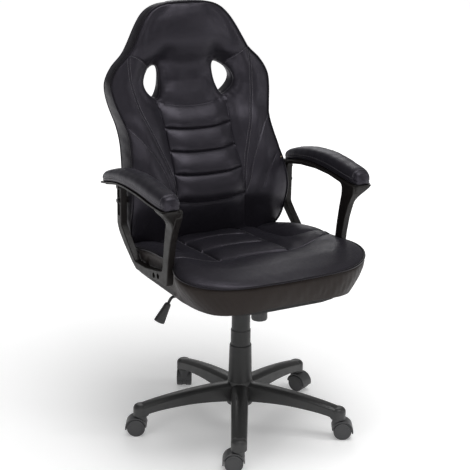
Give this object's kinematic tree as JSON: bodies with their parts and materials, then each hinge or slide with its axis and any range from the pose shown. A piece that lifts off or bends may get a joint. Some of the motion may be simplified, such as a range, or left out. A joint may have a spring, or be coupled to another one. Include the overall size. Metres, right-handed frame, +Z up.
{
  "type": "gaming office chair",
  "caption": "High-back faux-leather swivel chair with loop armrests, shoulder openings in the backrest, gas lift, tilt mechanism and a caster base.",
  "frame": {"origin": "on the floor under the axis of the gas lift", "axes": "+Z up, the sitter faces -Y, +X is the sitter's left"},
  "size_m": [0.6452, 0.6725, 1.1375],
  "materials": {
    "base_plastic": "satin glass-filled nylon, fine grain",
    "caster_plastic": "satin moulded nylon",
    "wheel_plastic": "satin moulded nylon",
    "steel_black": "powder coat, semi-matt",
    "steel_bright": "zinc plated",
    "bush_plastic": "plain",
    "grip_plastic": "ribbed, semi-matt",
    "plywood": "raw birch ply",
    "seat_leather": "soft-grain faux leather, satin",
    "back_leather": "soft-grain faux leather, satin",
    "back_fabric": "plain black woven backing",
    "pad_leather": "soft-grain faux leather, satin",
    "arm_plastic": "fine spark-eroded grain"
  },
  "bodies": {
    "base": {"five_star_base": "base_plastic", "gas_stand_tube": "steel_black", "stand_tube_bushing": "bush_plastic", "column_cover_lower": "base_plastic"},
    "gas_rod": {"piston_rod": "steel_bright", "rod_clip": "steel_bright", "thrust_bearing": "steel_bright"},
    "mid_cover": {"column_cover_mid": "base_plastic"},
    "lift": {"pressure_tube": "steel_bright", "column_cover_upper": "base_plastic", "mechanism_housing": "steel_black", "tilt_pivot_pin": "steel_black", "tilt_spring": "steel_bright"},
    "valve": {"valve_pin": "steel_bright"},
    "rocker": {"valve_rocker": "bush_plastic"},
    "lever": {"lever_rod": "steel_black", "lever_grip": "grip_plastic"},
    "seat": {"seat_plate": "steel_black", "tension_bolt": "steel_black", "seat_board": "plywood", "seat_cushion": "seat_leather", "seat_tee_nuts": "steel_bright", "plate_bolts": "steel_bright", "back_board": "plywood", "back_cushion": "back_leather", "back_cover": "back_fabric", "back_tee_nuts": "steel_bright", "arm_frame_left": "arm_plastic", "arm_frame_right": "arm_plastic", "arm_pad_left": "pad_leather", "arm_pad_right": "pad_leather", "arm_seat_bolts": "steel_bright", "arm_back_bolts": "steel_bright"},
    "spring_cup": {"spring_washer": "steel_bright"},
    "knob": {"tension_knob": "grip_plastic"},
    "caster_1": {"caster_1_stem": "steel_bright", "caster_1_hood": "caster_plastic", "caster_1_axle": "steel_bright"},
    "caster_1_roller_a": {"caster_1_wheel_a": "wheel_plastic"},
    "caster_1_roller_b": {"caster_1_wheel_b": "wheel_plastic"},
    "caster_2": {"caster_2_stem": "steel_bright", "caster_2_hood": "caster_plastic", "caster_2_axle": "steel_bright"},
    "caster_2_roller_a": {"caster_2_wheel_a": "wheel_plastic"},
    "caster_2_roller_b": {"caster_2_wheel_b": "wheel_plastic"},
    "caster_3": {"caster_3_stem": "steel_bright", "caster_3_hood": "caster_plastic", "caster_3_axle": "steel_bright"},
    "caster_3_roller_a": {"caster_3_wheel_a": "wheel_plastic"},
    "caster_3_roller_b": {"caster_3_wheel_b": "wheel_plastic"},
    "caster_4": {"caster_4_stem": "steel_bright", "caster_4_hood": "caster_plastic", "caster_4_axle": "steel_bright"},
    "caster_4_roller_a": {"caster_4_wheel_a": "wheel_plastic"},
    "caster_4_roller_b": {"caster_4_wheel_b": "wheel_plastic"},
    "caster_5": {"caster_5_stem": "steel_bright", "caster_5_hood": "caster_plastic", "caster_5_axle": "steel_bright"},
    "caster_5_roller_a": {"caster_5_wheel_a": "wheel_plastic"},
    "caster_5_roller_b": {"caster_5_wheel_b": "wheel_plastic"}
  },
  "joints": [
    {"name": "caster_1_swivel", "type": "hinge", "parent": "base", "child": "caster_1", "pos_m": [-0.13947, -0.24854, 0.058], "axis": [0, 0, 1], "continuous": true},
    {"name": "caster_1_roll_a", "type": "hinge", "parent": "caster_1", "child": "caster_1_roller_a", "pos_m": [-0.1508, -0.24216, 0.025], "axis": [-0.4909, -0.8712, 0], "continuous": true},
    {"name": "caster_1_roll_b", "type": "hinge", "parent": "caster_1", "child": "caster_1_roller_b", "pos_m": [-0.1508, -0.24216, 0.025], "axis": [-0.4909, -0.8712, 0], "continuous": true},
    {"name": "caster_2_swivel", "type": "hinge", "parent": "base", "child": "caster_2", "pos_m": [0.19328, -0.20945, 0.058], "axis": [0, 0, 1], "continuous": true},
    {"name": "caster_2_roll_a", "type": "hinge", "parent": "caster_2", "child": "caster_2_roller_a", "pos_m": [0.2046, -0.21583, 0.025], "axis": [0.4909, 0.8712, 0], "continuous": true},
    {"name": "caster_2_roll_b", "type": "hinge", "parent": "caster_2", "child": "caster_2_roller_b", "pos_m": [0.2046, -0.21583, 0.025], "axis": [0.4909, 0.8712, 0], "continuous": true},
    {"name": "caster_3_swivel", "type": "hinge", "parent": "base", "child": "caster_3", "pos_m": [0.25893, 0.11909, 0.058], "axis": [0, 0, 1], "continuous": true},
    {"name": "caster_3_roll_a", "type": "hinge", "parent": "caster_3", "child": "caster_3_roller_a", "pos_m": [0.26434, 0.10727, 0.025], "axis": [0.9092, 0.4163, 0], "continuous": true},
    {"name": "caster_3_roll_b", "type": "hinge", "parent": "caster_3", "child": "caster_3_roller_b", "pos_m": [0.26434, 0.10727, 0.025], "axis": [0.9092, 0.4163, 0], "continuous": true},
    {"name": "caster_4_swivel", "type": "hinge", "parent": "base", "child": "caster_4", "pos_m": [-0.03325, 0.28305, 0.058], "axis": [0, 0, 1], "continuous": true},
    {"name": "caster_4_roll_a", "type": "hinge", "parent": "caster_4", "child": "caster_4_roller_a", "pos_m": [-0.02687, 0.29438, 0.025], "axis": [-0.8712, 0.4909, 0], "continuous": true},
    {"name": "caster_4_roll_b", "type": "hinge", "parent": "caster_4", "child": "caster_4_roller_b", "pos_m": [-0.02687, 0.29438, 0.025], "axis": [-0.8712, 0.4909, 0], "continuous": true},
    {"name": "caster_5_swivel", "type": "hinge", "parent": "base", "child": "caster_5", "pos_m": [-0.27947, 0.05584, 0.058], "axis": [0, 0, 1], "continuous": true},
    {"name": "caster_5_roll_a", "type": "hinge", "parent": "caster_5", "child": "caster_5_roller_a", "pos_m": [-0.2908, 0.06223, 0.025], "axis": [-0.4909, -0.8712, 0], "continuous": true},
    {"name": "caster_5_roll_b", "type": "hinge", "parent": "caster_5", "child": "caster_5_roller_b", "pos_m": [-0.2908, 0.06223, 0.025], "axis": [-0.4909, -0.8712, 0], "continuous": true},
    {"name": "seat_swivel", "type": "hinge", "parent": "base", "child": "gas_rod", "pos_m": [0, 0, 0.062], "axis": [0, 0, 1], "continuous": true},
    {"name": "height_slide", "type": "slide", "parent": "gas_rod", "child": "lift", "axis": [0, 0, 1], "range_m": [-0.085, 0.01]},
    {"name": "mid_cover_slide", "type": "slide", "parent": "gas_rod", "child": "mid_cover", "axis": [0, 0, 1], "range_m": [-0.044, 0.006]},
    {"name": "seat_tilt", "type": "hinge", "parent": "lift", "child": "seat", "pos_m": [0, -0.035, 0.404], "axis": [1, 0, 0], "range_deg": [-12, 0], "stiffness_Nm_per_rad": 150, "springref_deg": 11.46, "deforming": ["tilt_spring"]},
    {"name": "valve_press", "type": "slide", "parent": "lift", "child": "valve", "axis": [0, 0, 1], "range_m": [-0.0032, 0], "stiffness_N_per_m": 900, "springref_m": 0.002},
    {"name": "lift_lever", "type": "hinge", "parent": "lift", "child": "rocker", "pos_m": [-0.047, 0, 0.4115], "axis": [0, 1, 0], "range_deg": [0, 4]},
    {"name": "tilt_lock_slide", "type": "slide", "parent": "rocker", "child": "lever", "axis": [-1, 0, 0], "range_m": [0, 0.012]},
    {"name": "tension_screw_rise", "type": "slide", "parent": "seat", "child": "spring_cup", "axis": [0, 0, 1], "range_m": [0, 0.004]},
    {"name": "tension_knob_turn", "type": "hinge", "parent": "spring_cup", "child": "knob", "pos_m": [0, -0.1, 0.36], "axis": [0, 0, 1], "range_deg": [0, 960]}
  ],
  "couplings": [
    {"joint": "mid_cover_slide", "follows": "height_slide", "ratio": 0.5},
    {"joint": "tension_screw_rise", "follows": "tension_knob_turn", "m_per_rad": 0.00023276},
    {"joint": "valve_press", "follows": "lift_lever", "m_per_rad": -0.045}
  ]
}
